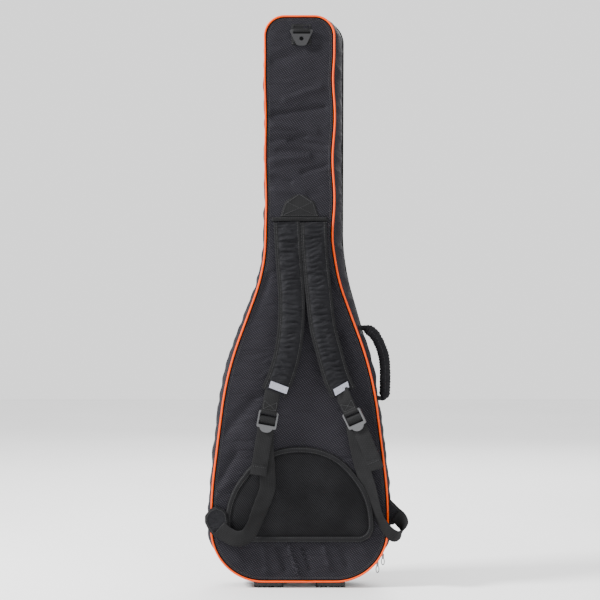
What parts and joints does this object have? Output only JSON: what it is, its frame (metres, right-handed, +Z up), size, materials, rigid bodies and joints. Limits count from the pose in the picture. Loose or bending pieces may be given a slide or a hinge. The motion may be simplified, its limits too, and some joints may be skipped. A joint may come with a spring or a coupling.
{
  "type": "padded gig bag",
  "caption": "Padded bass gig bag with a hinged zip lid, piped seams, backpack straps with ladder locks, side handle, hanger ring, zipped pockets and ribbed rubber feet.",
  "frame": {"origin": "middle of the bag's width and depth, on the plane of the soles of its feet", "axes": "+Z up to the head, -Y out of the back panel with the straps, +Y out of the front with the pockets, +X to the side with the carry handle"},
  "size_m": [0.433, 0.1426, 1.2154],
  "materials": {
    "shell_fabric": "coated diagonal-weave polyester, matt with fine lighter flecks",
    "padding": "closed-cell foam",
    "lining": "brushed plush lining",
    "zip_tape": "woven zip tape with a nylon coil",
    "piping": "smooth orange piping cord",
    "foot_rubber": "ribbed black rubber",
    "air_mesh": "open three-layer air mesh",
    "binding": "folded binding tape",
    "webbing": "flat woven webbing",
    "strap_fabric": "padded polyester, lightly creased",
    "reflective": "reflective tape",
    "moulded_plastic": "moulded acetal",
    "zip_metal": "plated zinc"
  },
  "bodies": {
    "back_shell": {"back_panel_fabric": "shell_fabric", "back_panel_padding": "padding", "back_gusset_fabric": "shell_fabric", "back_gusset_padding": "padding", "back_lining": "lining", "main_zip_back": "zip_tape", "back_piping": "piping", "lid_hinge_cloth": "shell_fabric", "foot_left": "foot_rubber", "foot_right": "foot_rubber", "lumbar_mesh": "air_mesh", "lumbar_border": "binding", "yoke_patch": "shell_fabric", "yoke_bar": "webbing", "hanger_patch": "shell_fabric", "hanger_webbing": "webbing", "lower_webbing_left": "webbing", "lower_webbing_right": "webbing", "strap_wing_left": "strap_fabric", "strap_wing_right": "strap_fabric", "neck_cradle": "lining", "neck_tie": "webbing", "endpin_pad": "lining"},
    "lid": {"front_panel_fabric": "shell_fabric", "front_panel_padding": "padding", "front_gusset_fabric": "shell_fabric", "front_gusset_padding": "padding", "front_lining": "lining", "main_zip_front": "zip_tape", "front_piping": "piping", "body_pocket": "shell_fabric", "body_pocket_zip": "zip_tape", "neck_pocket": "shell_fabric", "neck_pocket_zip": "zip_tape"},
    "strap_left": {"strap_pad_left": "strap_fabric", "reflective_patch_left": "reflective", "strap_webbing_left": "webbing"},
    "strap_right": {"strap_pad_right": "strap_fabric", "reflective_patch_right": "reflective", "strap_webbing_right": "webbing"},
    "lock_left": {"ladder_lock_left": "moulded_plastic", "webbing_tail_left": "webbing"},
    "lock_right": {"ladder_lock_right": "moulded_plastic", "webbing_tail_right": "webbing"},
    "handle": {"handle_grip": "strap_fabric", "handle_webbing": "webbing"},
    "hanger": {"hanger_ring": "moulded_plastic"},
    "slider_lower": {"zip_slider_lower": "zip_metal"},
    "pull_lower": {"zip_pull_lower": "zip_metal"},
    "slider_upper": {"zip_slider_upper": "zip_metal"},
    "pull_upper": {"zip_pull_upper": "zip_metal"},
    "body_pocket_slider": {"body_pocket_slider": "zip_metal"},
    "body_pocket_pull": {"body_pocket_pull": "zip_metal"},
    "neck_pocket_slider": {"neck_pocket_slider": "zip_metal"},
    "neck_pocket_pull": {"neck_pocket_pull": "zip_metal"}
  },
  "joints": [
    {"name": "lid_hinge", "type": "hinge", "parent": "back_shell", "child": "lid", "pos_m": [-0.1915, 0.02, 0.231], "axis": [0, 0, 1], "range_deg": [0, 140], "deforming": ["lid_hinge_cloth"]},
    {"name": "strap_left_swing", "type": "hinge", "parent": "back_shell", "child": "strap_left", "pos_m": [-0.028, -0.047, 0.778], "axis": [-1, 0, 0], "range_deg": [0, 22], "deforming": ["lower_webbing_left"]},
    {"name": "strap_right_swing", "type": "hinge", "parent": "back_shell", "child": "strap_right", "pos_m": [0.028, -0.047, 0.778], "axis": [-1, 0, 0], "range_deg": [0, 22], "deforming": ["lower_webbing_right"]},
    {"name": "lock_left_tilt", "type": "hinge", "parent": "strap_left", "child": "lock_left", "pos_m": [-0.06463, -0.0645, 0.37383], "axis": [-0.9829, 0, 0.184], "range_deg": [0, 35]},
    {"name": "lock_right_tilt", "type": "hinge", "parent": "strap_right", "child": "lock_right", "pos_m": [0.10873, -0.067, 0.37506], "axis": [-0.8352, 0.3751, -0.4021], "range_deg": [0, 35]},
    {"name": "handle_swing", "type": "hinge", "parent": "back_shell", "child": "handle", "pos_m": [0.13, -0.012, 0.5525], "axis": [0.2751, 0, -0.9614], "range_deg": [-35, 35], "stiffness_Nm_per_rad": 0.05},
    {"name": "hanger_swing", "type": "hinge", "parent": "back_shell", "child": "hanger", "pos_m": [0.004, -0.0518, 1.181], "axis": [-1, 0, 0], "range_deg": [0, 150]},
    {"name": "lower_slider_travel", "type": "hinge", "parent": "back_shell", "child": "slider_lower", "pos_m": [0.077, 0.02, 0.126], "axis": [0, 1, 0], "range_deg": [0, 14]},
    {"name": "lower_pull_swing", "type": "hinge", "parent": "slider_lower", "child": "pull_lower", "pos_m": [0.16859, 0.02, 0.0505], "axis": [0, 1, 0], "range_deg": [-5, 25]},
    {"name": "upper_slider_travel", "type": "hinge", "parent": "back_shell", "child": "slider_upper", "pos_m": [0.077, 0.02, 0.126], "axis": [0, -1, 0], "range_deg": [0, 27]},
    {"name": "upper_pull_swing", "type": "hinge", "parent": "slider_upper", "child": "pull_upper", "pos_m": [0.18021, 0.02, 0.06737], "axis": [0, 1, 0], "range_deg": [-60, 5]},
    {"name": "body_pocket_zip_slide", "type": "slide", "parent": "lid", "child": "body_pocket_slider", "axis": [-1, 0, 0], "range_m": [0, 0.2]},
    {"name": "body_pocket_pull_lift", "type": "hinge", "parent": "body_pocket_slider", "child": "body_pocket_pull", "pos_m": [0.1, 0.065, 0.4], "axis": [1, 0, 0], "range_deg": [0, 150]},
    {"name": "neck_pocket_zip_slide", "type": "slide", "parent": "lid", "child": "neck_pocket_slider", "axis": [0, 0, -1], "range_m": [0, 0.3]},
    {"name": "neck_pocket_pull_lift", "type": "hinge", "parent": "neck_pocket_slider", "child": "neck_pocket_pull", "pos_m": [-0.038, 0.065, 1.055], "axis": [1, 0, 0], "range_deg": [0, 150]}
  ]
}
